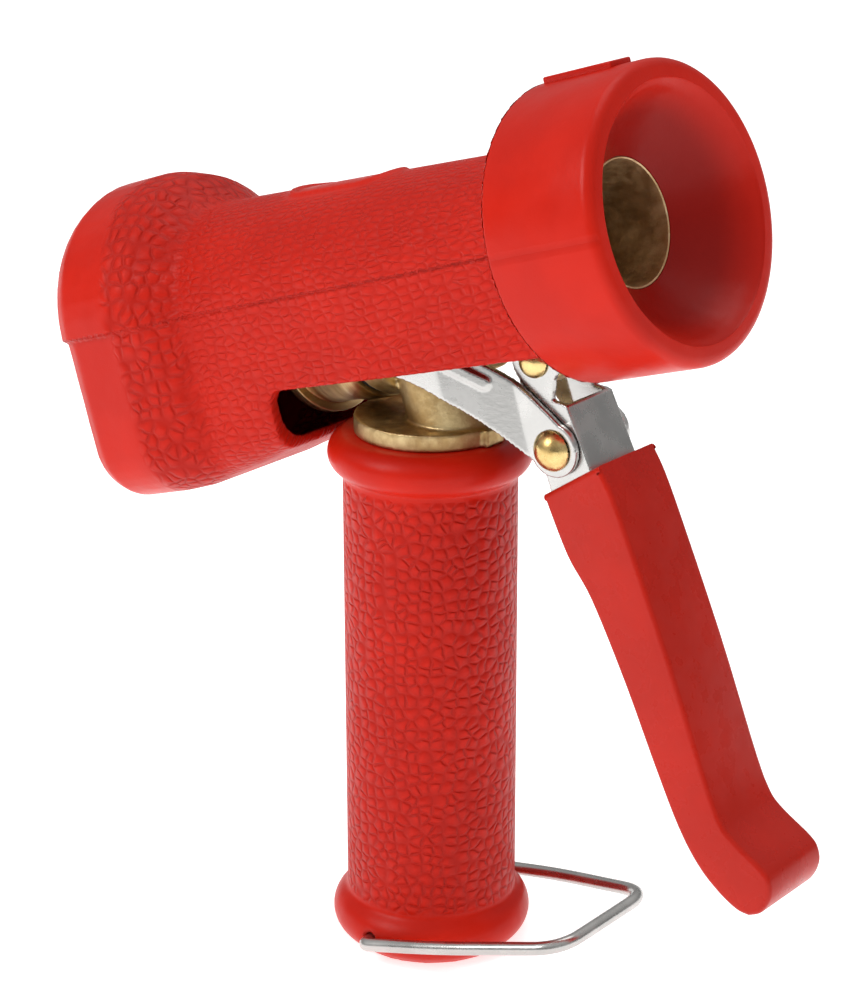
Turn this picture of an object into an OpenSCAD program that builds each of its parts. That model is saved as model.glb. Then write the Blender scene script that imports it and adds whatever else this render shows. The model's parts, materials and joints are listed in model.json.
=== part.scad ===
// Pistol-grip fire hose nozzle: a brass shut-off valve in a rubber cover, on a rubber-sleeved handle.
// The inlet is at the foot of the upright handle, which is the origin. The barrel is tilted up towards +X.

/* [Handle] */
// Outer diameter of the rubber grip, mm
grip_d = 38; // [37:0.5:39]
// Height of the handle, from its foot to the brass flange, mm
handle_h = 119; // [117:0.5:121]
// Largest radius of the two rolled collars, mm
collar_r = 22.3; // [21.8:0.1:22.4]
// Radius of the female inlet thread, G 1/2, mm
inlet_r = 9.3; // [9.1:0.1:9.4]

/* [Barrel] */
// Tilt of the barrel above the horizontal, degrees
tilt = 17.4; // [17:0.1:17.8]
// Height at which the barrel axis crosses the handle axis, mm
axis_z = 156.1; // [155.6:0.1:156.6]
// Distance of the valve axis below the nozzle axis, mm
valve_drop = 11; // [10.8:0.1:11.2]
// Outer radius of the rubber bell, mm
bell_r = 30.5; // [30:0.1:31]
// Outer radius of the brass nozzle tube, mm
nozzle_r = 13.2; // [12.9:0.1:13.4]

/* [Lever] */
// Outer width of the steel lever channel, mm
lever_w = 16; // [15.8:0.1:16.1]
// Width of the lever grip, mm
lever_grip_w = 20; // [19:0.5:21]

/* [Bail] */
// Diameter of the wire bail, mm
wire_d = 3; // [2.6:0.1:3]

/* [Hidden] */
$fn = 64;
e = 0.01;

// Heights in the handle, from the inlet up
thread_h = 14;
washer_h = 2.5;
bore_r = 8;
tube_r = 14.5;
spigot_r = 10.4;
spigot_h = 14;
seal_h = 2;
flange_r = 16.5;
flange_t = 3.8;
grip_r = grip_d / 2;
foot_roll_r = 5.7;
top_roll_r = 4.5;

// Stations along the barrel, from where its axis crosses the handle axis; forwards is positive
cover_back = -88;
bulge_front = -70;
bulge_neck = -54;
cup_front = -34;
bell_back = 40;
bell_front = 67;
nozzle_front = 53;
nozzle_back = 17;
hub_back = 4;
hub_front = 34;
chamber_back = -16;
chamber_front = 12;
neck_s = -4.2;
seat_back = 5;
seat_front = 8;
plug_back = 1;
gasket_t = 1.4;
bonnet_front = -9.5;
bonnet_step = -23.5;
bonnet_rim = -32.5;
bonnet_back = -35;
spring_back = -24;
yoke_back = -52;

// Radii in the valve
valve_n = -valve_drop;
hub_r = 14.5;
chamber_r = 15.6;
chamber_front_r = 13.5;
chamber_step = -10.5;
chamber_bore_r = 11.5;
neck_r = 9.5;
neck_bore_r = 6.8;
seat_bore_r = 7;
stem_r = 4;
stem_tip_r = 2.5;
spring_r = 6.8;
spring_wire_r = 0.8;
spring_turns = 7;

// The lever swings on pin A, and the yoke pulls on the lever at pin B: [station, height] in the barrel's frame
pin_a = [27.6, -23.3];
pin_b = [28.3, -41.6];
pin_r = 2.5;
link_r = 2.2;
fit = 0.05;
steel_t = 1.5;
eye_r = 5.8;
gap = 0.3;
ear_in = lever_w / 2 - steel_t;
arm_in = lever_w / 2 + gap;

// Places given in the barrel's frame, carried over to the handle's frame
function to_xz(p) = [p[0] * cos(tilt) - p[1] * sin(tilt), axis_z + p[0] * sin(tilt) + p[1] * cos(tilt)];
a_xz = to_xz(pin_a);
b_xz = to_xz(pin_b);

// The bail swings on two stubs in the foot of the handle
bail_z = 4.9;
bail_y = 24.4;
bail_reach = 49.5;
bail_rise = 14;
wire_r = wire_d / 2;

module on_barrel() { translate([0, 0, axis_z]) rotate([0, -tilt, 0]) children(); }
module on_valve() { on_barrel() translate([0, 0, valve_n]) children(); }

// A round bar along the barrel, from station s0 to s1
module along(s0, s1, r, n = 64) { translate([s0, 0, 0]) rotate([0, 90, 0]) cylinder(h = s1 - s0, r = r, $fn = n); }

// A ring along the barrel
module ring(s0, s1, r_out, r_in) {
    difference() {
        along(s0, s1, r_out);
        along(s0 - 1, s1 + 1, r_in);
    }
}

// A pin across the object at [x, z], half of it on each side
module cross_pin(p, r, w) { translate([p[0], 0, p[1]]) rotate([90, 0, 0]) cylinder(h = w, r = r, center = true); }

// A flat plate of the given side outline, w wide, across the object
module across(w) { rotate([90, 0, 0]) linear_extrude(w, center = true) children(); }

// A domed rivet head that stands on the plane y = side * y0
module dome(p, y0, r, h, side) {
    ball = (r * r + h * h) / (2 * h);
    translate([p[0], side * y0, p[1]]) rotate([-90 * side, 0, 0]) intersection() {
        translate([0, 0, h - ball]) sphere(ball);
        cylinder(h = h + 1, r = r);
    }
}

// ---- Handle ----
module handle_tube() {
    color("goldenrod") difference() {
        cylinder(h = handle_h, r = tube_r);
        translate([0, 0, -1]) cylinder(h = handle_h + 2, r = bore_r);
        translate([0, 0, -1]) cylinder(h = thread_h + 1, r = inlet_r);
        translate([0, 0, thread_h]) cylinder(h = washer_h, r = inlet_r + 0.7);
        translate([0, 0, handle_h - spigot_h - seal_h]) cylinder(h = handle_h, r = spigot_r);
        for (side = [-1, 1])
            translate([0, side * 11.4, bail_z]) rotate([-90 * side, 0, 0]) cylinder(h = 9, r = wire_r + fit);
    }
}

module inlet_washer() {
    color("black") translate([0, 0, thread_h]) difference() {
        cylinder(h = washer_h, r = inlet_r + 0.7);
        translate([0, 0, -1]) cylinder(h = washer_h + 2, r = 6.5);
    }
}

module handle_seal() {
    color("black") translate([0, 0, handle_h - spigot_h - seal_h]) difference() {
        cylinder(h = seal_h, r = spigot_r);
        translate([0, 0, -1]) cylinder(h = seal_h + 2, r = bore_r);
    }
}

module handle_grip() {
    color("red") difference() {
        rotate_extrude() intersection() {
            union() {
                translate([tube_r, 0]) square([grip_r - tube_r, handle_h]);
                translate([collar_r - foot_roll_r, foot_roll_r]) circle(foot_roll_r);
                translate([tube_r, 0]) square([collar_r - foot_roll_r - tube_r, 2 * foot_roll_r]);
                translate([collar_r - top_roll_r, handle_h - top_roll_r]) circle(top_roll_r);
                translate([tube_r, handle_h - 2 * top_roll_r])
                    square([collar_r - top_roll_r - tube_r, 2 * top_roll_r]);
            }
            translate([tube_r, 0]) square([20, handle_h]);
        }
        cross_pin([0, bail_z], wire_r + 0.3, 60);
    }
}

// ---- Valve body ----
module body_casting() {
    neck_h = 50;
    color("goldenrod") difference() {
        union() {
            translate([0, 0, handle_h]) cylinder(h = flange_t, r = flange_r);
            translate([0, 0, handle_h - spigot_h]) cylinder(h = spigot_h + 1, r = spigot_r);
            intersection() {
                on_valve() translate([neck_s, 0, -neck_h]) cylinder(h = neck_h, r = neck_r);
                translate([-50, -50, handle_h + 0.4]) cube([100, 100, 100]);
            }
            on_valve() along(chamber_back, chamber_step, chamber_r);
            on_valve() along(chamber_back, chamber_front, chamber_front_r);
            on_barrel() along(hub_back, hub_front, hub_r);
            on_barrel() translate([0, 0, -7]) along(hub_back, 22, 12.5);
            on_barrel() across(2 * ear_in - 2 * gap) pivot_lug();
            stop_lug();
        }
        on_valve() along(chamber_back - 1, seat_front, chamber_bore_r);
        on_valve() along(seat_back, 12.5, seat_bore_r + 0.8);
        on_barrel() translate([0, 0, -6]) along(10.5, 19, 9);
        on_barrel() along(nozzle_back, hub_front + 1, nozzle_r);
        translate([0, 0, handle_h - spigot_h - 1]) cylinder(h = spigot_h + 3.5, r = bore_r - 0.5);
        neck_bore();
        cross_pin(a_xz, pin_r, 40);
    }
}

// The lug under the front hub that carries the lever's pivot pin
module pivot_lug() {
    polygon([[14, -12], [32, -12], [33.1, -23.3], [31, -27.6], [27.6, -28.8], [24.2, -27.6], [20, -19]]);
}

// The waterway in the neck, ending just above the flange's underside
module neck_bore() {
    floor_z = handle_h + 2.6;
    depth = (axis_z + neck_s * sin(tilt) - floor_z) / cos(tilt) - valve_drop;
    on_valve() translate([neck_s, 0, -depth]) cylinder(h = depth, r = neck_bore_r);
}

// A small cast lug on the front of the flange
module stop_lug() { translate([flange_r - 2, -3, handle_h]) cube([3.2, 6, flange_t]); }

module nozzle_tube() {
    color("goldenrod") on_barrel() rotate([0, 90, 0]) rotate_extrude() polygon([
        [nozzle_r - 1.7, nozzle_back], [nozzle_r, nozzle_back], [nozzle_r, nozzle_front - 0.4],
        [nozzle_r - 0.4, nozzle_front], [nozzle_r - 0.7, nozzle_front], [nozzle_r - 1.2, nozzle_front - 0.6],
        [nozzle_r - 1.7, 30]]);
}

module valve_seat() { color("white") on_valve() ring(seat_back, seat_front, chamber_bore_r, seat_bore_r); }

module bonnet_gasket() {
    color("black") on_valve() ring(chamber_back - gasket_t, chamber_back, chamber_r - 0.6, chamber_bore_r);
}

// The bonnet screws into the chamber and carries the spring, the stem and its seals
module bonnet() {
    color("goldenrod") on_valve() difference() {
        union() {
            along(chamber_back - gasket_t - 0.1, bonnet_front, chamber_bore_r);
            along(bonnet_step, chamber_back - gasket_t, chamber_r + 0.4);
            along(bonnet_rim, bonnet_step, 15.5);
            along(bonnet_back, bonnet_rim, 17.4);
        }
        along(spring_back, 0, 8.5);
        along(bonnet_back - 1, 0, stem_r + fit);
        for (s = seal_stations) along(s, s + 2, 6);
        along(bonnet_back - 1, bonnet_back + 1.5, 13);
    }
}
seal_stations = [-32, -28.5];

module gland_seals() {
    color("black") on_valve() for (s = seal_stations) ring(s, s + 2, 6, stem_r + 0.03);
}

// ---- Rubber cover ----
// One cross-section: an arch of half-width w and height top, over straight sides that reach down to bottom
module section(s, w, top, low_w, bottom, corner) {
    translate([s, 0, 0]) rotate([90, 0, 90]) linear_extrude(e) {
        intersection() {
            scale([w, top]) circle(1, $fn = 48);
            translate([-w, 0]) square([2 * w, top + 1]);
        }
        hull() {
            translate([-low_w, -1]) square([2 * low_w, 1 + e]);
            for (side = [-1, 1])
                translate([side * (low_w - corner), bottom + corner]) circle(corner, $fn = 32);
        }
    }
}

// The outside of the cover behind the bell, or, with a wall t, the space inside it
module cover_form(t) {
    hull() {
        section(bulge_neck, 22.8 - t, 21.6 - t, 22.6 - t, -36.6 + t, 7);
        section(cup_front - (t > 0 ? -6 : 0), 22.6 - t, 20.9 - t, 22.4 - t, -32.5 + t, 5);
    }
    hull() {
        section(cup_front - 1, 22.6 - t, 20.9 - t, 22.4 - t, -24, 0.5);
        section(-5, 22.3 - t, 20 - t, 22.1 - t, -24, 0.5);
        section(bell_back + 1 - (t > 0 ? 6 : 0), 19 - t, 18.3 - t, 18.8 - t, -24, 0.5);
    }
    hull() {
        section(bulge_neck - e, 22.8 - t, 21.6 - t, 22.6 - t, -36.6 + t, 7);
        section(-63, 28.6 - t, 29 - t, 26.6 - t, -38.6 + t, 11);
        section(bulge_front, 30.5 - t, 30.8 - t, 28.9 - t, -39 + t, 13);
        section(cover_back + 5 + t, 30.3 - t, 30.6 - t, 28.7 - t, -39 + t, 13);
        section(cover_back + 1.5 + t, 28.8 - t, 29.1 - t, 27.2 - t, -37.5 + t, 12);
        section(cover_back + t, 25.5 - t, 25.8 - t, 24 - t, -34.3 + t, 10);
    }
}

// Side outline of the gap under the barrel
module under_gap() {
    polygon([[cup_front, -60], [cup_front, -21.5], [cup_front + 1.8, -19.4], [bell_back, -21.6],
        [bell_back, -60]]);
}

module bell() {
    lip = 25.6;
    on_barrel() rotate([0, 90, 0]) rotate_extrude() polygon(concat(
        [[nozzle_r, bell_back - 3], [19, bell_back - 3], [24, bell_back + 0.2], [bell_r, bell_back]],
        [for (a = [0:15:90]) [bell_r - 2.4 + 2.4 * cos(a), bell_front - 2.4 + 2.4 * sin(a)]],
        [[lip, bell_front], [lip - 0.4, bell_front - 1.2]],
        [for (f = [0.25:0.25:1]) [lip - 0.4 - 12 * f, bell_front - 1.2 - 12.8 * pow(f, 0.8)]],
        [[nozzle_r, nozzle_front]]));
}

module body_cover() {
    color("red") {
        difference() {
            on_barrel() difference() {
                cover_form(0);
                cover_form(3);
                across(80) under_gap();
                along(hub_back, bell_back + 5, hub_r + 0.4);
                translate([0, 0, -7]) along(hub_back, 22.4, 12.9);
                translate([bell_back - 1, -50, -60]) cube([20, 100, 120]);
            }
        }
        bell();
        bell_strip();
    }
}

// A plain raised strip on top of the bell
module bell_strip() { on_barrel() translate([42.5, -3.5, bell_r - 1]) cube([17, 7, 2.2]); }

// ---- Valve stem, moves along the valve axis ----
module valve_stem() {
    color("silver") on_valve() {
        along(-65, plug_back, stem_r);
        along(plug_back - 1, 9, stem_tip_r);
    }
}

module valve_plug() { color("goldenrod") on_valve() ring(plug_back, seat_back - 1.2, 9.5, stem_tip_r); }
module plug_seal() { color("black") on_valve() ring(seat_back - 1.2, seat_back - 0.05, 9, stem_tip_r); }

module plug_nut() {
    color("silver") on_valve() difference() {
        along(seat_back - 0.05, 8.2, 4.6, 6);
        along(0, 10, stem_tip_r);
    }
}

module thrust_washer() { color("silver") on_valve() ring(-53.8, -52.4, 8, stem_r); }

module lock_nuts() {
    color("silver") on_valve() for (s = [-58.3, -62.8]) difference() {
        along(s, s + 4.4, 7.5, 6);
        along(s - 1, s + 6, stem_r);
    }
}

// The spring's wire, swept along a helix of round sections
module return_spring() {
    steps = 14;
    sides = 8;
    count = steps * spring_turns;
    length = plug_back - spring_back - 2 * spring_wire_r - 0.2;
    pitch = length / spring_turns;
    points = [for (i = [0:count]) for (j = [0:sides - 1])
        let (a = 360 * i / steps, b = 360 * j / sides, r = spring_r + spring_wire_r * cos(b))
        [spring_back + spring_wire_r + 0.1 + pitch * i / steps + spring_wire_r * sin(b),
            r * cos(a), r * sin(a)]];
    walls = [for (i = [0:count - 1]) for (j = [0:sides - 1])
        let (k = (j + 1) % sides) [i * sides + j, i * sides + k, (i + 1) * sides + k, (i + 1) * sides + j]];
    ends = [[for (j = [sides - 1:-1:0]) j], [for (j = [0:sides - 1]) count * sides + j]];
    color("silver") on_valve() polyhedron(points, concat(walls, ends), convexity = 10);
}

// ---- Yoke, hangs on the lever at pin B and pulls the stem's tail ----
function bezier(p, t) = pow(1 - t, 3) * p[0] + 3 * pow(1 - t, 2) * t * p[1] + 3 * (1 - t) * t * t * p[2]
    + pow(t, 3) * p[3];
function turn(v) = [-v[1], v[0]] / norm(v);

// The arm seen from the side: a strip along a curve, round at the pin
module arm_side() {
    curve = [pin_b, [13.5, -22], [-3, -7], [-34, valve_n]];
    line = concat([for (i = [0:14]) bezier(curve, i / 14)], [[yoke_back - 2, valve_n]]);
    last = len(line) - 1;
    normals = [for (i = [0:last]) turn(line[min(i + 1, last)] - line[max(i - 1, 0)])];
    half = [for (i = [0:last]) 5.5 - 0.4 * sin(180 * i / last) + 1.2 * pow(i / last, 4)];
    polygon(concat([for (i = [0:last]) line[i] + half[i] * normals[i]],
        [for (i = [last:-1:0]) line[i] - half[i] * normals[i]]));
}

// The yoke seen from above: two arms that spread to clear the valve, joined behind the stem
module yoke_plan(inset) {
    half = [[45, arm_in + steel_t], [22.5, arm_in + steel_t], [8.5, 16.2], [-8, 18.9],
        [yoke_back, 18.9]];
    polygon(concat([for (p = half) [max(p[0], yoke_back + inset), p[1] - inset]],
        [for (i = [len(half) - 1:-1:0]) [max(half[i][0], yoke_back + inset), inset - half[i][1]]]));
}

module yoke() {
    color("silver") difference() {
        on_barrel() intersection() {
            union() {
                across(60) arm_side();
                cross_pin(pin_b, eye_r, 60);
            }
            translate([0, 0, -60]) linear_extrude(80) difference() {
                yoke_plan(0);
                yoke_plan(steel_t);
            }
        }
        cross_pin(b_xz, link_r + fit, 60);
        on_valve() for (n = [-0.5, 0.5]) translate([0, 0, n]) along(yoke_back - 2, yoke_back + 4, stem_r + 0.6);
    }
}

// ---- Lever ----
// Front face of the channel, from the top of its web down into the grip
web = [[41.6, 134.3], [48, 121.6], [57, 100], [62.5, 88]];
back = [[58, 86], [51.4, 95.4], [45.4, 103.4], [38.4, 114.2], [34.4, 124]];

module channel_side() {
    polygon(concat([a_xz + [-5, 1.2], a_xz + [5, -1.2], [38, web[0][1] + 0.4]], web, back, [a_xz + [-5, -1.2]]));
}

// The hollow of the channel: all of it behind the web, and open above the web's top edge
module channel_hollow() {
    polygon(concat([[45, 150], [45, web[0][1]]], [[web[0][0] - 1.3, web[0][1]]],
        [for (i = [1:3]) web[i] + [-1.4, -0.6]], [web[3] + [-1.4, -12]], [[20, 70], [20, 150]]));
}

module lever_channel() {
    color("silver") difference() {
        union() {
            across(lever_w) channel_side();
            cross_pin(a_xz, eye_r, lever_w);
        }
        across(2 * ear_in) channel_hollow();
        cross_pin(a_xz, pin_r + fit, 40);
        cross_pin(b_xz, link_r, 40);
    }
}

// Side outline of the lever grip: flat top, tapering shank and a toe that turns forwards
module grip_side() {
    polygon([[37.3, 114.8], [50.9, 123.9], [54.5, 118.2], [60, 106.6], [69.6, 85], [78.4, 63.2], [82, 55.6],
        [85, 52.2], [91.6, 48.2], [94, 46.2], [95, 43.2], [94.4, 40.2], [92.6, 37.4], [90, 36], [87, 36.4],
        [82.4, 39], [77.4, 43.4], [72.4, 50.4], [66.4, 62], [58.2, 79], [49.6, 94.8], [43.4, 103]]);
}

module lever_grip() {
    color("red") difference() {
        across(lever_grip_w) grip_side();
        lever_channel();
    }
}

module lever_pivot_pin() {
    color("goldenrod") {
        cross_pin(a_xz, pin_r, 2 * (lever_w / 2 + gap) + e);
        for (side = [-1, 1]) dome(a_xz, lever_w / 2 + gap, 3.5, 2.4, side);
    }
}

module link_pin() {
    color("goldenrod") {
        cross_pin(b_xz, link_r, 2 * (arm_in + steel_t + gap) + e);
        for (side = [-1, 1]) dome(b_xz, arm_in + steel_t + gap, 4.4, 2.8, side);
    }
}

// ---- Wire bail: two hinge stubs and one bent wire, lying in a plane that rises forwards ----
bail_corners = [[0, 11.6], [0, bail_y], [20, 22.3], [bail_reach, 16.2], [bail_reach, 0]];
bail_cuts = [0, 2, 8, 7];
bail_steps = 6;

// A corner rounded off from cut before it to cut after it
function rounded(a, b, c, cut) = let (p = b + (a - b) / norm(a - b) * cut, q = b + (c - b) / norm(c - b) * cut)
    [for (t = [0:1 / bail_steps:1]) (1 - t) * (1 - t) * p + 2 * (1 - t) * t * b + t * t * q];

module bail() {
    half = [bail_corners[0], for (i = [1:3])
        each rounded(bail_corners[i - 1], bail_corners[i], bail_corners[i + 1], bail_cuts[i])];
    line = concat(half, [for (i = [len(half) - 1:-1:0]) [half[i][0], -half[i][1]]]);
    last = len(line) - 1;
    sides = 24;
    points = [for (i = [0:last], j = [0:sides - 1])
        let (v = turn(line[min(i + 1, last)] - line[max(i - 1, 0)]) * cos(360 * j / sides))
        [line[i][0] + wire_r * v[0], line[i][1] + wire_r * v[1], -wire_r * sin(360 * j / sides)]];
    walls = [for (i = [0:last - 1], j = [0:sides - 1])
        let (k = (j + 1) % sides) [i * sides + j, i * sides + k, (i + 1) * sides + k, (i + 1) * sides + j]];
    ends = [[for (j = [sides - 1:-1:0]) j], [for (j = [0:sides - 1]) last * sides + j]];
    color("silver") translate([0, 0, bail_z]) rotate([0, -bail_rise, 0])
        polyhedron(points, concat(walls, ends), convexity = 6);
}

body_casting();
nozzle_tube();
valve_seat();
bonnet();
bonnet_gasket();
gland_seals();
body_cover();
handle_tube();
handle_seal();
handle_grip();
inlet_washer();
lever_pivot_pin();
return_spring();
valve_stem();
valve_plug();
plug_seal();
plug_nut();
thrust_washer();
lock_nuts();
yoke();
lever_channel();
lever_grip();
link_pin();
bail();
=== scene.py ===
"""Pistol-grip fire hose nozzle: red rubber cover and handle over brass, with a steel lever linkage and wire bail."""
import json
import math

import bmesh
import bpy
from mathutils import Matrix, Vector


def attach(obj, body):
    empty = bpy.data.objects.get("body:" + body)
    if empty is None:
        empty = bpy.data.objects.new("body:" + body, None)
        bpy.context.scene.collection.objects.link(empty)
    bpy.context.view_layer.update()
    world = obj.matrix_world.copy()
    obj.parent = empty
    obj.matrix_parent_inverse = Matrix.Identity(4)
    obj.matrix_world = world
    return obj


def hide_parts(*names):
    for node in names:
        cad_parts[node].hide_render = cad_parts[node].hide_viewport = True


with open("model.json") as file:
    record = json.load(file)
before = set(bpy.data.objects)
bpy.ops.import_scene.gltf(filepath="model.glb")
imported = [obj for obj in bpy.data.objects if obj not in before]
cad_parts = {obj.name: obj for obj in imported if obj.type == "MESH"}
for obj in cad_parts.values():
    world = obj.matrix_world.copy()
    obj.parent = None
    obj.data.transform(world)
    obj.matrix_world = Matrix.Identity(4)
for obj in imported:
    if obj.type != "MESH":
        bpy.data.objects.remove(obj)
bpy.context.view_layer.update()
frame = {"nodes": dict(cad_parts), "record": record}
scene = bpy.context.scene
scene.view_settings.view_transform = "Standard"
MM = 0.001

# The barrel's frame: stations s run forwards along its axis, and n is the height above that axis, in mm
TILT = math.radians(17.4)
AXIS_Z = 156.1
BARREL = Matrix.Translation((0, 0, AXIS_Z * MM)) @ Matrix.Rotation(-TILT, 4, "Y")
VALVE_DROP = 11
VALVE = BARREL @ Matrix.Translation((0, 0, -VALVE_DROP * MM))
TO_BARREL = BARREL.inverted()


# ---- Node helpers ----
def new_material(name, color, roughness, metallic=0.0, **sockets):
    mat = bpy.data.materials.new(name)
    mat.use_nodes = True
    bsdf = mat.node_tree.nodes["Principled BSDF"]
    bsdf.inputs["Base Color"].default_value = (*color, 1)
    bsdf.inputs["Roughness"].default_value = roughness
    bsdf.inputs["Metallic"].default_value = metallic
    for key, value in sockets.items():
        bsdf.inputs[key.replace("_", " ")].default_value = value
    return mat, mat.node_tree, bsdf


def node(tree, kind, inputs=(), **settings):
    """A shader node with its settings; inputs maps a socket to a value or to another node's output."""
    made = tree.nodes.new("ShaderNode" + kind)
    for key, value in settings.items():
        setattr(made, key, value)
    for key, value in dict(inputs).items():
        if isinstance(value, bpy.types.NodeSocket):
            tree.links.new(value, made.inputs[key])
        else:
            made.inputs[key].default_value = value
    return made


def math_node(tree, operation, a, b=0.0):
    return node(tree, "Math", {0: a, 1: b}, operation=operation).outputs[0]


def ramp(tree, value, low, high, out_low=0.0, out_high=1.0):
    made = node(tree, "MapRange", {"Value": value, "From Min": low, "From Max": high,
                                   "To Min": out_low, "To Max": out_high}, interpolation_type="SMOOTHSTEP")
    return made.outputs["Result"]


def object_coords(tree, rotation=(0, 0, 0), scale=(1, 1, 1)):
    coords = node(tree, "TexCoord").outputs["Object"]
    return node(tree, "Mapping", {"Vector": coords, "Rotation": rotation, "Scale": scale}).outputs["Vector"]


def noise(tree, coords, size_mm, detail=3.0, roughness=0.55):
    return node(tree, "TexNoise", {"Vector": coords, "Scale": 1000 / size_mm, "Detail": detail,
                                   "Roughness": roughness}).outputs["Fac"]


def mix_color(tree, factor, dark, light):
    made = node(tree, "Mix", data_type="RGBA")
    for socket, value in zip((made.inputs[0], made.inputs[6], made.inputs[7]), (factor, dark, light)):
        if isinstance(value, bpy.types.NodeSocket):
            tree.links.new(value, socket)
        else:
            socket.default_value = (*value, 1) if isinstance(value, tuple) else value
    return made.outputs[2]


def set_bump(tree, bsdf, height, depth_mm, strength=1.0):
    bump = node(tree, "Bump", {"Height": height, "Strength": strength, "Distance": depth_mm * MM})
    tree.links.new(bump.outputs["Normal"], bsdf.inputs["Normal"])


# ---- Materials ----
RED = (0.60, 0.014, 0.004)
RED_SHADE = (0.53, 0.011, 0.003)
# Dark red for the seam line, and painted shade in the grooves of the grain and inside the bell
RED_SEAM_AND_SHADE = (0.24, 0.004, 0.002)


def pebbles(tree, coords, length_mm, width_mm):
    """Height of a leather-like grain, 0 to 1: rounded pebbles in narrow grooves, on unrolled coordinates in mm."""
    flat = node(tree, "Mapping", {"Vector": coords, "Scale": (1 / length_mm, 1 / width_mm, 1)}).outputs["Vector"]
    warp = node(tree, "TexNoise", {"Vector": flat, "Scale": 0.9, "Detail": 1.0}, noise_dimensions="2D")
    moved = node(tree, "VectorMath", {0: warp.outputs["Color"], 1: (0.4, 0.4, 0.4)}, operation="MULTIPLY").outputs[0]
    moved = node(tree, "VectorMath", {0: flat, 1: moved}, operation="ADD").outputs[0]
    settings = {"Vector": moved, "Scale": 1.0, "Randomness": 0.75}
    edge = node(tree, "TexVoronoi", settings, voronoi_dimensions="2D", feature="DISTANCE_TO_EDGE").outputs["Distance"]
    away = node(tree, "TexVoronoi", settings, voronoi_dimensions="2D", feature="F1").outputs["Distance"]
    dome = math_node(tree, "SUBTRACT", 1.0, ramp(tree, away, 0.0, 0.9))
    return math_node(tree, "MULTIPLY", ramp(tree, edge, 0.0, 0.2), dome)


def grained_rubber(name, fine_mm, coarse_mm):
    """Red rubber whose grain is set by painted values: how strong it is, and where the coarse pebbles are."""
    mat, tree, bsdf = new_material(name, RED, 0.42, Specular_IOR_Level=0.16)
    coords = object_coords(tree)
    unrolled = node(tree, "Attribute", attribute_name="unrolled").outputs["Vector"]
    grain = node(tree, "Attribute", attribute_name="grain").outputs["Fac"]
    coarse = node(tree, "Attribute", attribute_name="coarse").outputs["Fac"]
    seam = node(tree, "Attribute", attribute_name="seam").outputs["Fac"]
    painted_bell_shade = node(tree, "Attribute", attribute_name="painted_bell_shade").outputs["Fac"]
    mixed = node(tree, "Mix", {0: coarse, 2: pebbles(tree, unrolled, *fine_mm),
                               3: pebbles(tree, unrolled, *coarse_mm)}).outputs[0]
    depth = math_node(tree, "MULTIPLY", grain, ramp(tree, coarse, 0.0, 1.0, 0.62, 1.0))
    height = math_node(tree, "MULTIPLY", depth, mixed)
    height = math_node(tree, "ADD", height, math_node(tree, "MULTIPLY", noise(tree, coords, 0.5), 0.08))
    height = math_node(tree, "ADD", height, math_node(tree, "MULTIPLY", noise(tree, coords, 9.0, 2.0), 0.6))
    height = math_node(tree, "SUBTRACT", height, seam)
    set_bump(tree, bsdf, height, 0.36, 1.0)
    # Painted shade: the grooves between the pebbles are painted a darker red, standing in for the shade that falls in
    # them
    groove_shade = math_node(tree, "MULTIPLY", depth, math_node(tree, "SUBTRACT", 1.0, mixed))
    patches = ramp(tree, noise(tree, coords, 22, 3.0), 0.35, 0.7)
    base = mix_color(tree, patches, RED_SHADE, RED)
    shade = math_node(tree, "MAXIMUM", math_node(tree, "MULTIPLY", groove_shade, 0.36),
                      math_node(tree, "MULTIPLY", seam, 0.4))
    # Painted shade: the inside of the bell is darkened here, standing in for the shade that falls inside it
    shade = math_node(tree, "MAXIMUM", shade, math_node(tree, "MULTIPLY", painted_bell_shade, 0.75))
    tree.links.new(mix_color(tree, shade, base, RED_SEAM_AND_SHADE), bsdf.inputs["Base Color"])
    worn = ramp(tree, noise(tree, coords, 9, 4.0), 0.3, 0.75, 0.30, 0.42)
    rough = math_node(tree, "ADD", math_node(tree, "MULTIPLY", grain, 0.10), worn)
    tree.links.new(rough, bsdf.inputs["Roughness"])
    return mat


def smooth_rubber(name, color, roughness, patch_mm=18):
    mat, tree, bsdf = new_material(name, color, roughness, Specular_IOR_Level=0.2)
    coords = object_coords(tree)
    patches = ramp(tree, noise(tree, coords, patch_mm), 0.35, 0.7)
    tree.links.new(mix_color(tree, patches, tuple(c * 0.9 for c in color), color), bsdf.inputs["Base Color"])
    worn = ramp(tree, noise(tree, coords, 5, 5.0), 0.3, 0.8, roughness - 0.06, roughness + 0.1)
    tree.links.new(worn, bsdf.inputs["Roughness"])
    height = math_node(tree, "ADD", noise(tree, coords, 7, 2.0),
                       math_node(tree, "MULTIPLY", noise(tree, coords, 0.4), 0.12))
    set_bump(tree, bsdf, height, 0.25, 0.5)
    return mat


def brass(name, color, roughness, bump_mm, grain_mm, stretch=(1, 1, 1)):
    mat, tree, bsdf = new_material(name, color, roughness, 1.0)
    coords = object_coords(tree, (0, TILT, 0), stretch)
    stain = ramp(tree, noise(tree, coords, 7, 5.0, 0.65), 0.38, 0.68)
    dark = tuple(c * f for c, f in zip(color, (0.66, 0.58, 0.48)))
    tree.links.new(mix_color(tree, stain, dark, color), bsdf.inputs["Base Color"])
    tree.links.new(ramp(tree, noise(tree, coords, 2.2, 4.0), 0.3, 0.75, roughness - 0.08, roughness + 0.14),
                   bsdf.inputs["Roughness"])
    set_bump(tree, bsdf, noise(tree, coords, grain_mm, 4.0, 0.6), bump_mm, 0.7)
    return mat


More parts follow.
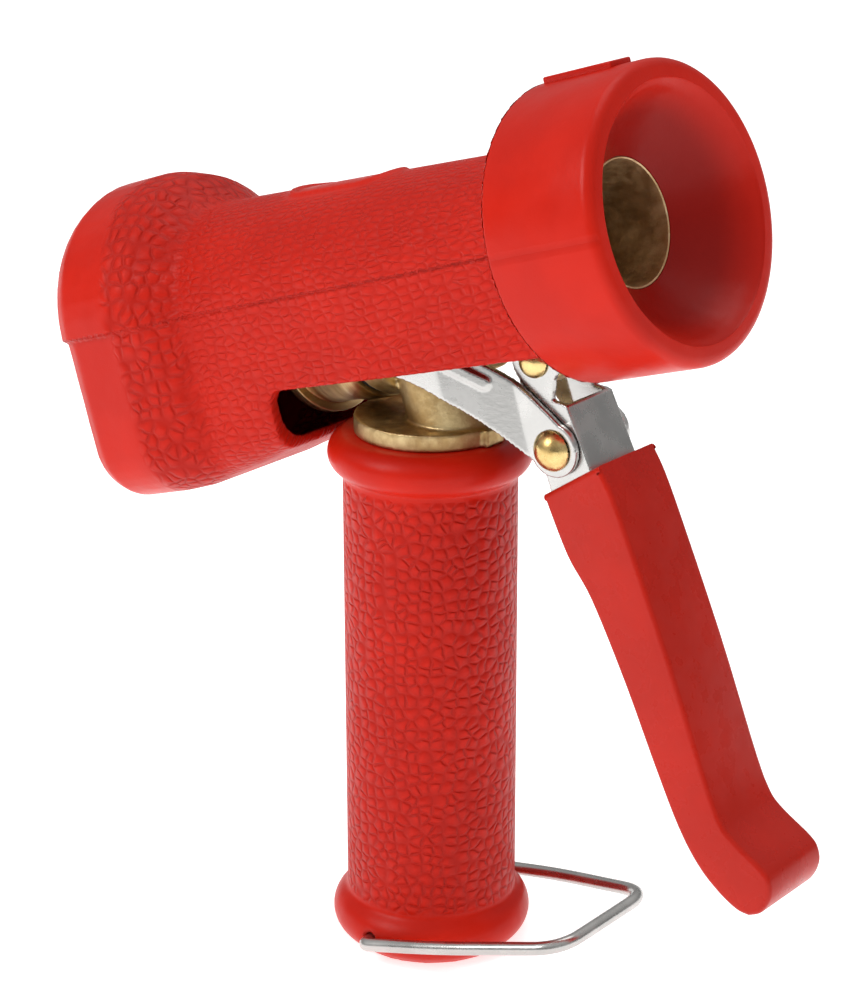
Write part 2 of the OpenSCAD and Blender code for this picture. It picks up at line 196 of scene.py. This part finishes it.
def steel(name, color, roughness, stretch):
    """Pressed steel with fine drawing marks along its long side and a few darker, rougher smudges."""
    mat, tree, bsdf = new_material(name, color, roughness, 1.0)
    lines = noise(tree, object_coords(tree, (0, TILT, 0), stretch), 0.8, 3.0)
    coords = object_coords(tree)
    smudge = ramp(tree, noise(tree, coords, 8, 4.0), 0.35, 0.75)
    tree.links.new(mix_color(tree, smudge, tuple(c * 0.82 for c in color), color), bsdf.inputs["Base Color"])
    spread = math_node(tree, "MULTIPLY", math_node(tree, "ADD", lines, smudge), 0.09)
    tree.links.new(math_node(tree, "ADD", spread, roughness - 0.06), bsdf.inputs["Roughness"])
    set_bump(tree, bsdf, lines, 0.03, 0.5)
    return mat


MATERIALS = {
    "cover": grained_rubber("cover_rubber", (3.0, 1.7), (2.9, 2.9)),
    "handle": grained_rubber("handle_rubber", (2.7, 2.5), (2.7, 2.5)),
    "lever_plastic": smooth_rubber("lever_coating", (0.52, 0.014, 0.005), 0.30),
    "seal_rubber": smooth_rubber("seal_black", (0.02, 0.02, 0.02), 0.5, 4),
    "seat_plastic": smooth_rubber("seat_white", (0.75, 0.74, 0.70), 0.4, 6),
    "cast_brass": brass("cast_brass", (0.66, 0.51, 0.27), 0.46, 0.10, 0.8),
    "turned_brass": brass("turned_brass", (0.74, 0.56, 0.29), 0.36, 0.008, 0.25, (3, 0.15, 0.15)),
    "nozzle_brass": brass("nozzle_brass", (0.84, 0.66, 0.40), 0.52, 0.02, 0.6),
    "rivet_brass": brass("rivet_brass", (0.80, 0.60, 0.26), 0.24, 0.05, 0.8),
    "steel": steel("pressed_steel", (0.62, 0.61, 0.59), 0.25, (0.12, 1, 1)),
    "wire_steel": steel("wire_steel", (0.60, 0.59, 0.57), 0.26, (0.2, 0.2, 1)),
    "spring_steel": steel("spring_steel", (0.45, 0.45, 0.46), 0.30, (1, 1, 1)),
}


# ---- Piece helpers ----
def object_from(name, shape):
    """A linked object made of a bmesh, which is used up."""
    mesh = bpy.data.meshes.new(name)
    shape.to_mesh(mesh)
    shape.free()
    piece = bpy.data.objects.new(name, mesh)
    scene.collection.objects.link(piece)
    return piece


def finish_mesh(piece, body, material, nodes, smooth_angle=None):
    piece.data.materials.clear()
    piece.data.materials.append(material)
    piece.data.polygons.foreach_set("use_smooth", [True] * len(piece.data.polygons))
    if smooth_angle is not None:
        piece.data.set_sharp_from_angle(angle=math.radians(smooth_angle))
    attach(piece, body)
    if nodes:
        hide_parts(*nodes)
    return piece


def baked(piece):
    """The piece with its modifiers applied."""
    shape = bpy.data.meshes.new_from_object(piece.evaluated_get(bpy.context.evaluated_depsgraph_get()))
    piece.modifiers.clear()
    piece.data = shape
    return piece


def moulded(name, cad_node, voxel_mm, passes):
    """A copy of a CAD node rebuilt as an even skin, with the softened edges of a moulded or cast part."""
    piece = bpy.data.objects.new(name, frame["nodes"][cad_node].data.copy())
    scene.collection.objects.link(piece)
    skin = piece.modifiers.new("skin", "REMESH")
    skin.mode = "VOXEL"
    skin.voxel_size = voxel_mm * MM
    soften = piece.modifiers.new("soften", "SMOOTH")
    soften.iterations = passes
    soften.factor = 0.5
    return baked(piece)


def displace(piece, height, to_frame=Matrix()):
    """Moves each vertex out along its normal by height(place in mm, normal), in mm."""
    mesh = piece.data
    normals = [v.normal.copy() for v in mesh.vertices]
    turn = to_frame.to_3x3()
    for v, normal in zip(mesh.vertices, normals):
        v.co = v.co + normal * (height(to_frame @ v.co / MM, turn @ normal) * MM)
    mesh.update()


def paint(piece, name, value, to_frame=Matrix()):
    """Stores value(place in mm, normal) on each vertex, for the material to read."""
    mesh = piece.data
    layer = mesh.attributes.new(name, "FLOAT", "POINT")
    turn = to_frame.to_3x3()
    layer.data.foreach_set("value", [value(to_frame @ v.co / MM, turn @ v.normal) for v in mesh.vertices])


def unroll(piece, place):
    """Stores place(vertex in mm) as (along, around, 0) on each vertex: where it lies on the skin laid out flat."""
    layer = piece.data.attributes.new("unrolled", "FLOAT_VECTOR", "POINT")
    layer.data.foreach_set("vector", [c for v in piece.data.vertices for c in (*place(v.co), 0.0)])


def merged(name, pieces):
    """One object made of several."""
    shape = bmesh.new()
    for piece in pieces:
        shape.from_mesh(piece.data)
        bpy.data.objects.remove(piece)
    return object_from(name, shape)


def step(value, low, high):
    t = min(max((value - low) / (high - low), 0.0), 1.0)
    return t * t * (3 - 2 * t)


def lathe(name, profile, place, segments=96, bevel_mm=0.0):
    """A turned part: profile is [(along, radius)] in mm about the X axis of place."""
    shape = bmesh.new()
    rings = []
    turns = [2 * math.pi * i / segments for i in range(segments)]
    for along, radius in profile:
        rings.append([shape.verts.new(place @ Vector((along * MM, radius * math.cos(a) * MM,
                                                      radius * math.sin(a) * MM))) for a in turns])
    for first, second in zip(rings, rings[1:] + rings[:1]):
        for i in range(segments):
            j = (i + 1) % segments
            shape.faces.new((first[i], first[j], second[j], second[i]))
    bmesh.ops.recalc_face_normals(shape, faces=shape.faces)
    piece = object_from(name, shape)
    if bevel_mm:
        edge = piece.modifiers.new("edge", "BEVEL")
        edge.width = bevel_mm * MM
        edge.segments = 3
        edge.limit_method = "ANGLE"
        edge.angle_limit = math.radians(25)
        baked(piece)
    return piece


# ---- Camera, floor and light ----
def look(azimuth, elevation, roll, position):
    a, e = math.radians(azimuth), math.radians(elevation)
    back = Vector((math.sin(a) * math.cos(e), -math.cos(a) * math.cos(e), math.sin(e)))
    right = Vector((math.cos(a), math.sin(a), 0))
    up = back.cross(right)
    turned = Matrix((right, up, back)).transposed().to_4x4() @ Matrix.Rotation(math.radians(roll), 4, "Z")
    return Matrix.Translation(Vector(position) * MM) @ turned


camera = bpy.data.objects.new("camera", bpy.data.cameras.new("camera"))
camera.data.lens = 95.94
camera.data.clip_end = 20
camera.matrix_world = look(38.91, 19.45, -0.17, (341.06, -424.44, 295.20))
scene.collection.objects.link(camera)
scene.camera = camera


def area_light(name, place, target, size, watts):
    lamp = bpy.data.lights.new(name, "AREA")
    lamp.shape = "DISK"
    lamp.size, lamp.energy = size, watts
    holder = bpy.data.objects.new(name, lamp)
    holder.location = place
    holder.rotation_euler = (Vector(target) - Vector(place)).to_track_quat("-Z", "Y").to_euler()
    scene.collection.objects.link(holder)


area_light("key", (-0.45, -1.0, 0.95), (0, 0, 0.12), 0.6, 7.2)
area_light("fill", (1.2, -0.6, 0.25), (0.03, 0, 0.12), 0.7, 0.15)
area_light("top", (-0.1, 0.25, 1.2), (0, 0, 0.1), 0.8, 3.0)

# Soft studio surround: bright overhead, dimmer towards the horizon, so that metal has something to reflect
world = bpy.data.worlds.new("studio")
world.use_nodes = True
sky = world.node_tree
height = node(sky, "SeparateXYZ", {0: node(sky, "TexCoord").outputs["Generated"]}).outputs["Z"]
glow = ramp(sky, height, 0.0, 0.8, 0.22, 0.60)
sky.links.new(glow, sky.nodes["Background"].inputs["Strength"])
sky.nodes["Background"].inputs["Color"].default_value = (1, 1, 1, 1)
scene.world = world

floor_shape = bmesh.new()
bmesh.ops.create_grid(floor_shape, x_segments=8, y_segments=8, size=8.0)
floor = object_from("floor", floor_shape)
floor_material, _, floor_bsdf = new_material("pale_floor", (0.92, 0.92, 0.92), 0.8, Emission_Strength=0.70)
floor_bsdf.inputs["Emission Color"].default_value = (1, 1, 1, 1)
floor.data.materials.append(floor_material)


# ---- Rubber cover ----
def top_pad(s, y):
    """Distance in mm outside the plain oval pad on top of the barrel; negative inside."""
    half_length, half_width, middle = 14.5, 7.0, -17.0
    reach = half_length - half_width
    along = max(abs(s - middle) - reach, 0.0)
    return math.hypot(along, y) - half_width


def cover_grain(p, normal):
    s, y, n = p
    outside = 1.0 if (y * normal.y + n * normal.z) > 0 or n < -20 else 0.0
    back = step(s, -74.0 + 3.0 * step(abs(y), 10, 30), -71.0 + 3.0 * step(abs(y), 10, 30))
    front = 1 - step(s, 37.5, 38.8)
    pad = step(top_pad(s, y), 1.2, 2.6) if n > 5 else 1.0
    return outside * back * front * pad


def cover_height(p, normal):
    """The raised outline round the plain pad on top."""
    return 0.6 * (1 - step(abs(top_pad(p[0], p[1]) + 0.4), 0.3, 1.2)) if p[2] > 5 else 0.0


def draw_in_lower_half(piece):
    """Below the parting line the cover is a little narrower, most of all at the rear bulge."""
    for v in piece.data.vertices:
        s, y, n = TO_BARREL @ v.co / MM
        if s < 39.5 and n < 0:
            below = step(-n, 0.0, 0.8) * (1 - min(-n / 26, 1))
            share = (0.010 + 0.042 * (1 - step(s, -72, -58))) * below
            v.co.y -= y * share * step(abs(y), 12, 20) * MM


COVER_HALF_WIDTH = 24


def cover_unrolled(co):
    """Where a point of the cover lies when its skin is laid out flat: along the barrel, and around it."""
    s, y, n = TO_BARREL @ co / MM
    if n > 0:
        around = COVER_HALF_WIDTH * math.atan2(abs(y), n)
    else:
        around = COVER_HALF_WIDTH * math.pi / 2 - n + max(0.0, COVER_HALF_WIDTH - abs(y))
    return s, math.copysign(around, y)


BELL_R, BELL_BACK, BELL_FRONT, LIP_R = 30.4, 40.0, 66.8, 25.6


def bell_profile():
    """The bell in section, from the tube out over the rear face, along the outside, and down the funnel."""
    rim = [(BELL_FRONT - 2.2 + 2.2 * math.sin(a), BELL_R - 2.2 + 2.2 * math.cos(a))
           for a in (math.radians(d) for d in range(0, 91, 15))]
    rear = [(BELL_BACK + 1.2 - 1.2 * math.cos(a), BELL_R - 1.2 + 1.2 * math.sin(a))
            for a in (math.radians(d) for d in range(0, 91, 18))]
    lip = [(BELL_FRONT, LIP_R + 0.7), (BELL_FRONT - 0.5, LIP_R + 0.45), (BELL_FRONT - 0.9, LIP_R - 0.2)]
    funnel = [(BELL_FRONT - 0.9 - 12.9 * f ** 0.8, LIP_R - 0.2 - 12.15 * f) for f in (i / 12 for i in range(1, 13))]
    return [(37.0, 13.25), (38.0, 18.0), (BELL_BACK, 19.0), *rear, *rim, *lip, *funnel]


def rounded_block(name, low, high, place, edge_mm):
    """A block between two corners in mm, with rounded edges."""
    shape = bmesh.new()
    bmesh.ops.create_cube(shape, size=1.0)
    low, high = Vector(low), Vector(high)
    for v in shape.verts:
        v.co = place @ (Vector(((v.co[i] + 0.5) * (high[i] - low[i]) + low[i] for i in range(3))) * MM)
    bmesh.ops.bevel(shape, geom=shape.edges[:], offset=edge_mm * MM, segments=3, profile=0.5, affect="EDGES")
    return object_from(name, shape)


def cover_seam(p, normal):
    outer = normal.y * p[1] > 0 and abs(normal.y) > 0.3
    return (1 - step(abs(p[2] + 0.2), 0.1, 0.5)) * (0.5 if p[0] > 40 else 1.0) if outer else 0.0


skin = moulded("cover_skin", "body_cover", 0.6, 8)
draw_in_lower_half(skin)
displace(skin, cover_height, TO_BARREL)
trimmed = bmesh.new()
trimmed.from_mesh(skin.data)
beyond = [v for v in trimmed.verts if (TO_BARREL @ v.co).x > (BELL_BACK + 0.8) * MM]
bmesh.ops.delete(trimmed, geom=beyond, context="VERTS")
trimmed.to_mesh(skin.data)
trimmed.free()
bell = lathe("bell", bell_profile(), BARREL, 144)
strip = rounded_block("strip", (42.5, -3.5, BELL_R - 1), (59.5, 3.5, BELL_R + 1.1), BARREL, 0.4)
cover = merged("body_cover_rubber", [skin, bell, strip])
unroll(cover, cover_unrolled)
paint(cover, "grain", cover_grain, TO_BARREL)
paint(cover, "coarse", lambda p, _: 1 - step(p[0], -60, -48), TO_BARREL)
paint(cover, "seam", cover_seam, TO_BARREL)
# Painted shade: the inside of the bell is painted a deeper red than its outside, standing in for the shade that falls
# inside it
paint(cover, "painted_bell_shade", lambda p, _: 1 - step(math.hypot(p[1], p[2]), 20, 26) if p[0] > 50 else 0.0, TO_BARREL)
finish_mesh(cover, "valve_body", MATERIALS["cover"], ["body_cover"], 35)

# ---- Rubber sleeve on the handle ----
sleeve = moulded("handle_sleeve_rubber", "handle_grip", 0.6, 6)
unroll(sleeve, lambda co: (19.3 * math.atan2(co.y, co.x), co.z / MM))
paint(sleeve, "grain", lambda p, _: step(p[2], 11.5, 13.0) * (1 - step(p[2], 107.5, 109.0)))
paint(sleeve, "coarse", lambda p, _: 1.0)
paint(sleeve, "seam", lambda p, _: (1 - step(abs(p[1]), 0.4, 0.9)) if p[0] < 0 else 0.0)
finish_mesh(sleeve, "valve_body", MATERIALS["handle"], ["handle_grip"], 60)

# ---- Lever grip: a dipped coating, round-edged, with a toe that turns forwards ----
GRIP_FRONT = [(50.9, 123.9), (54.5, 118.2), (60, 106.6), (69.6, 85), (78.4, 63.2), (82, 55.6), (85, 52.2),
              (91.6, 48.2)]
GRIP_TOE = [(91.6, 48.2), (94, 46.2), (95, 43.2), (94.4, 40.2), (92.6, 37.4), (90, 36)]
GRIP_REAR = [(90, 36), (87, 36.4), (82.4, 39), (77.4, 43.4), (72.4, 50.4), (66.4, 62), (58.2, 79), (49.6, 94.8),
             (43.4, 103), (37.3, 114.8)]


def smooth_line(points, steps=6):
    """A curve through the points, without its last one."""
    line = []
    ends = [points[0]] + list(points) + [points[-1]]
    for a, b, c, d in zip(ends, ends[1:], ends[2:], ends[3:]):
        a, b, c, d = (Vector(p) for p in (a, b, c, d))
        for t in (k / steps for k in range(steps)):
            line.append(0.5 * (2 * b + (c - a) * t + (2 * a - 5 * b + 4 * c - d) * t * t
                               + (3 * b - a - 3 * c + d) * t ** 3))
    return line


def grip_shape(half_width, edge_mm):
    """The grip's outline carried across its width, with its long edges rounded."""
    outline = smooth_line(GRIP_FRONT) + smooth_line(GRIP_TOE) + smooth_line(GRIP_REAR) + [Vector(GRIP_REAR[-1])]
    shape = bmesh.new()
    count = len(outline)
    centre = Vector((sum(p.x for p in outline), sum(p.y for p in outline))) / count
    # Across the width, the outline draws in near each side, which rounds the long edges
    turns = [math.radians(90 * k / 6) for k in range(7)]
    steps = [(-half_width + edge_mm * (1 - math.cos(a)), edge_mm * (1 - math.sin(a))) for a in turns]
    steps += [(-y, inset) for y, inset in reversed(steps)]
    normals = []
    for i, p in enumerate(outline):
        run = outline[(i + 1) % count] - outline[i - 1]
        normals.append(Vector((run.y, -run.x)).normalized())
    if (outline[3] - centre).dot(normals[3]) < 0:
        normals = [-n for n in normals]
    rings = [[shape.verts.new(Vector(((p - n * inset).x, y, (p - n * inset).y)) * MM)
              for p, n in zip(outline, normals)] for y, inset in steps]
    for first, second in zip(rings, rings[1:]):
        for i in range(count):
            j = (i + 1) % count
            shape.faces.new((first[i], first[j], second[j], second[i]))
    for ring in (rings[0], rings[-1]):
        edges = [shape.edges.get((ring[i], ring[(i + 1) % count])) for i in range(count)]
        bmesh.ops.triangle_fill(shape, use_beauty=True, edges=edges)
    bmesh.ops.recalc_face_normals(shape, faces=shape.faces)
    return object_from("lever_grip_coating", shape)


finish_mesh(grip_shape(10.0, 1.1), "lever", MATERIALS["lever_plastic"], ["lever_grip"], 32)

# ---- Brass ----
casting = moulded("valve_casting", "body_casting", 0.4, 4)
finish_mesh(casting, "valve_body", MATERIALS["cast_brass"], ["body_casting"])

tube = lathe("nozzle_ring", [(17, 11.5), (17, 13.2), (52.8, 13.2), (53.0, 13.0), (52.8, 12.7), (50, 12.5),
                             (34, 11.5), (30, 11.5)], BARREL, 128, 0.1)
finish_mesh(tube, "valve_body", MATERIALS["nozzle_brass"], ["nozzle_tube"], 40)

bonnet = lathe("bonnet_turned", [(-33.5, 13), (-35, 13), (-35, 17.4), (-32.5, 17.4), (-32.5, 15.5), (-23.5, 15.5),
                                 (-23.5, 16.0), (-17.4, 16.0), (-17.4, 11.5), (-9.5, 11.5), (-9.5, 8.5),
                                 (-24, 8.5), (-24, 4.05), (-33.5, 4.05)], VALVE, 96, 0.3)
finish_mesh(bonnet, "valve_body", MATERIALS["turned_brass"], ["bonnet"], 40)

for name, cad_node, body in (("pivot_rivet", "lever_pivot_pin", "valve_body"), ("link_rivet", "link_pin", "lever")):
    rivet = moulded(name, cad_node, 0.22, 3)
    finish_mesh(rivet, body, MATERIALS["rivet_brass"], [cad_node])

# ---- Pressed steel ----
BEAD_FROM, BEAD_TO = Vector((10.0, -19.6)), Vector((17.0, -25.6))


def yoke_bead(p, normal):
    """A long stamped bead on the outside of each arm, and its hollow on the inside."""
    here = Vector((p[0], p[2]))
    run = BEAD_TO - BEAD_FROM
    t = min(max((here - BEAD_FROM).dot(run) / run.length_squared, 0.0), 1.0)
    away = (here - BEAD_FROM - run * t).length
    side = 1 if normal.y * p[1] > 0 else -1
    return 0.55 * side * (1 - step(away, 0.8, 1.7)) if abs(normal.y) > 0.3 else 0.0


arms = moulded("yoke_pressed", "yoke", 0.32, 3)
displace(arms, yoke_bead, TO_BARREL)
finish_mesh(arms, "yoke", MATERIALS["steel"], ["yoke"])

channel = moulded("lever_channel_pressed", "lever_channel", 0.32, 3)
finish_mesh(channel, "lever", MATERIALS["steel"], ["lever_channel"])

# ---- Wire bail: one bent wire in a plane that rises forwards from its stubs ----
BAIL_Z, BAIL_RISE, WIRE_R = 4.9, math.radians(14), 1.5
BAIL_HALF = [((0, 11.6), 0), ((0, 24.4), 2), ((20, 22.3), 8), ((49.5, 16.2), 7)]


def bail_line():
    corners = [Vector(c) for c, _ in BAIL_HALF] + [Vector((49.5, 0))]
    line = [corners[0]]
    for i in range(1, 4):
        a, b, c, cut = corners[i - 1], corners[i], corners[i + 1], BAIL_HALF[i][1]
        p, q = b + (a - b).normalized() * cut, b + (c - b).normalized() * cut
        line += [(1 - t) ** 2 * p + 2 * (1 - t) * t * b + t * t * q for t in (k / 10 for k in range(11))]
    return line + [Vector((p.x, -p.y)) for p in reversed(line)]


wire = bpy.data.curves.new("bail_wire", "CURVE")
wire.dimensions = "3D"
wire.bevel_depth = WIRE_R * MM
wire.bevel_resolution = 6
wire.use_fill_caps = True
points = bail_line()
spline = wire.splines.new("POLY")
spline.points.add(len(points) - 1)
for point, p in zip(spline.points, points):
    point.co = (p.x * math.cos(BAIL_RISE) * MM, p.y * MM, (BAIL_Z + p.x * math.sin(BAIL_RISE)) * MM, 1)
wire_holder = bpy.data.objects.new("bail_curve", wire)
scene.collection.objects.link(wire_holder)
bail_mesh = bpy.data.meshes.new_from_object(wire_holder.evaluated_get(bpy.context.evaluated_depsgraph_get()))
bpy.data.objects.remove(wire_holder)
bail = bpy.data.objects.new("bail_wire", bail_mesh)
scene.collection.objects.link(bail)
finish_mesh(bail, "bail", MATERIALS["wire_steel"], ["bail"], 40)

# ---- The CAD nodes that stay: seals, valve parts and fasteners ----
record = frame["record"]
slot_of = {part["node"]: part["material_slot"] for part in record["subparts"]}
replaced = {"body_cover", "handle_grip", "lever_grip", "body_casting", "nozzle_tube", "bonnet", "lever_pivot_pin",
            "link_pin", "yoke", "lever_channel", "bail"}
for name, cad_object in frame["nodes"].items():
    if name not in replaced:
        for material_slot in cad_object.material_slots:
            material_slot.material = MATERIALS[slot_of[name]]
